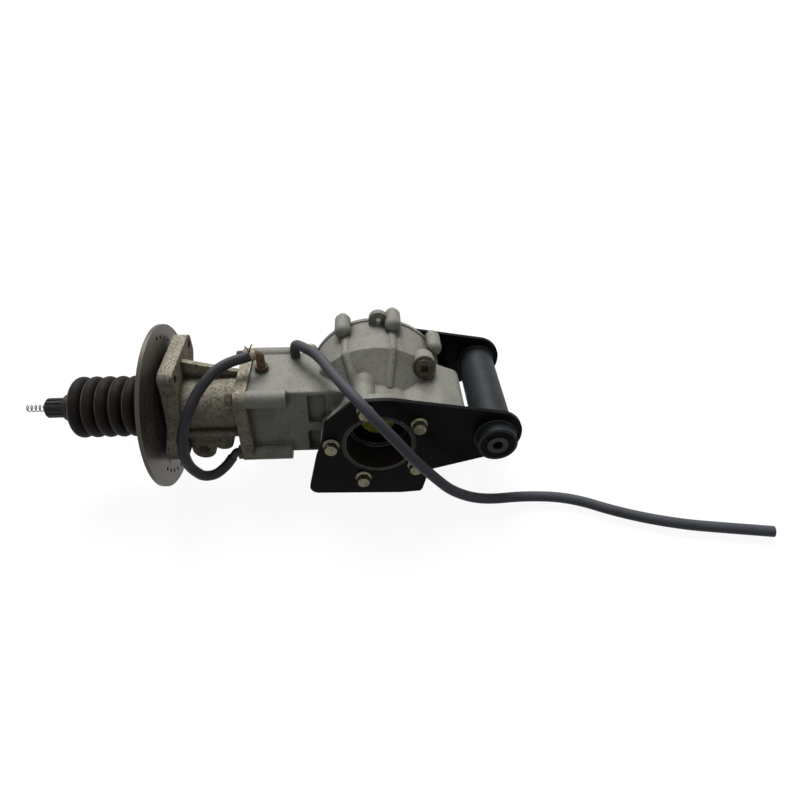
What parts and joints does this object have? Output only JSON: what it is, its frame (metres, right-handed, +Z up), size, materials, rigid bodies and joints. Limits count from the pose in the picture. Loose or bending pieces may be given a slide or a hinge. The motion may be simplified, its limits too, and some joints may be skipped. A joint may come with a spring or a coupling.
{
  "type": "rear axle drive",
  "caption": "Rear axle drive with a bevel gear casing, brake disc, splined input shaft in a bellows boot, pivot plates, pivot tube and vent hoses.",
  "frame": {"origin": "the crossing of the input shaft's axis and the axle's axis, inside the bevel gear casing", "axes": "+X along the input shaft's axis towards the pivot tube, +Y along the axle's axis away from the near plate, +Z up"},
  "size_m": [0.7388, 0.259, 0.172],
  "materials": {
    "cast_aluminium": "cast",
    "housing_casting": "weathered cast",
    "black_paint": "gloss",
    "tube_paint": "satin",
    "zinc_steel": "zinc plated",
    "rusty_steel": "weathered",
    "dark_fitting": "blackened",
    "spring_steel": "bright",
    "disc_steel": "worn",
    "gear_steel": "machined",
    "bearing_steel": "ground",
    "black_rubber": "matte",
    "hose_rubber": "matte",
    "cap_plastic": "matte"
  },
  "bodies": {
    "casing": {"main_casing": "cast_aluminium", "far_cover": "cast_aluminium", "cover_bolts": "zinc_steel", "pinion_housing": "housing_casting", "housing_bolts": "zinc_steel", "near_plate": "black_paint", "far_plate": "black_paint", "near_plate_bolts": "zinc_steel", "far_plate_bolts": "zinc_steel", "cross_tube": "tube_paint", "near_pivot_rubber": "black_rubber", "far_pivot_rubber": "black_rubber", "filler_plug": "zinc_steel", "drain_plug": "zinc_steel", "elbow_fitting": "rusty_steel", "elbow_clamp": "spring_steel", "breather_fitting": "rusty_steel", "lower_fitting": "dark_fitting", "short_hose": "hose_rubber", "long_hose": "hose_rubber", "near_axle_seal": "black_rubber", "far_axle_seal": "black_rubber", "pinion_seal": "black_rubber", "bearing_retainer": "gear_steel", "near_axle_bearing_outer_race": "bearing_steel", "far_axle_bearing_outer_race": "bearing_steel", "inner_pinion_bearing_outer_race": "bearing_steel", "outer_pinion_bearing_outer_race": "bearing_steel"},
    "axle": {"axle_hub": "gear_steel", "ring_gear": "gear_steel", "ring_gear_bolts": "zinc_steel", "bore_cap": "cap_plastic", "near_axle_bearing_inner_race": "bearing_steel", "far_axle_bearing_inner_race": "bearing_steel"},
    "input": {"input_shaft": "gear_steel", "inner_pinion_bearing_inner_race": "bearing_steel", "outer_pinion_bearing_inner_race": "bearing_steel", "bearing_spacer": "gear_steel", "disc_hub": "disc_steel", "hub_nut": "disc_steel", "brake_disc": "disc_steel", "disc_bolts": "zinc_steel", "boot": "black_rubber", "boot_band_large": "spring_steel", "boot_band_small": "spring_steel", "coupling_spring": "spring_steel"},
    "near_axle_rollers": {"near_axle_bearing_rollers": "bearing_steel"},
    "far_axle_rollers": {"far_axle_bearing_rollers": "bearing_steel"},
    "inner_pinion_rollers": {"inner_pinion_bearing_rollers": "bearing_steel"},
    "outer_pinion_rollers": {"outer_pinion_bearing_rollers": "bearing_steel"},
    "near_collar": {"near_pivot_collar": "rusty_steel"},
    "far_collar": {"far_pivot_collar": "rusty_steel"}
  },
  "joints": [
    {"name": "axle_spin", "type": "hinge", "parent": "casing", "child": "axle", "pos_m": [0, 0, 0], "axis": [0, 1, 0], "continuous": true},
    {"name": "input_spin", "type": "hinge", "parent": "casing", "child": "input", "pos_m": [0, 0, 0], "axis": [1, 0, 0], "continuous": true},
    {"name": "near_axle_rollers_spin", "type": "hinge", "parent": "casing", "child": "near_axle_rollers", "pos_m": [0, 0, 0], "axis": [0, 1, 0], "continuous": true},
    {"name": "far_axle_rollers_spin", "type": "hinge", "parent": "casing", "child": "far_axle_rollers", "pos_m": [0, 0, 0], "axis": [0, 1, 0], "continuous": true},
    {"name": "inner_pinion_rollers_spin", "type": "hinge", "parent": "casing", "child": "inner_pinion_rollers", "pos_m": [0, 0, 0], "axis": [1, 0, 0], "continuous": true},
    {"name": "outer_pinion_rollers_spin", "type": "hinge", "parent": "casing", "child": "outer_pinion_rollers", "pos_m": [0, 0, 0], "axis": [1, 0, 0], "continuous": true},
    {"name": "near_bush_twist", "type": "hinge", "parent": "casing", "child": "near_collar", "pos_m": [0.1157, -0.065, 0.009], "axis": [0, 1, 0], "range_deg": [-15, 15], "stiffness_Nm_per_rad": 2},
    {"name": "far_bush_twist", "type": "hinge", "parent": "casing", "child": "far_collar", "pos_m": [0.1157, 0.055, 0.009], "axis": [0, 1, 0], "range_deg": [-15, 15], "stiffness_Nm_per_rad": 2}
  ],
  "couplings": [
    {"joint": "input_spin", "follows": "axle_spin", "ratio": 3.3636},
    {"joint": "near_axle_rollers_spin", "follows": "axle_spin", "ratio": 0.43},
    {"joint": "far_axle_rollers_spin", "follows": "axle_spin", "ratio": 0.43},
    {"joint": "inner_pinion_rollers_spin", "follows": "axle_spin", "ratio": 1.2956},
    {"joint": "outer_pinion_rollers_spin", "follows": "axle_spin", "ratio": 1.3634}
  ]
}
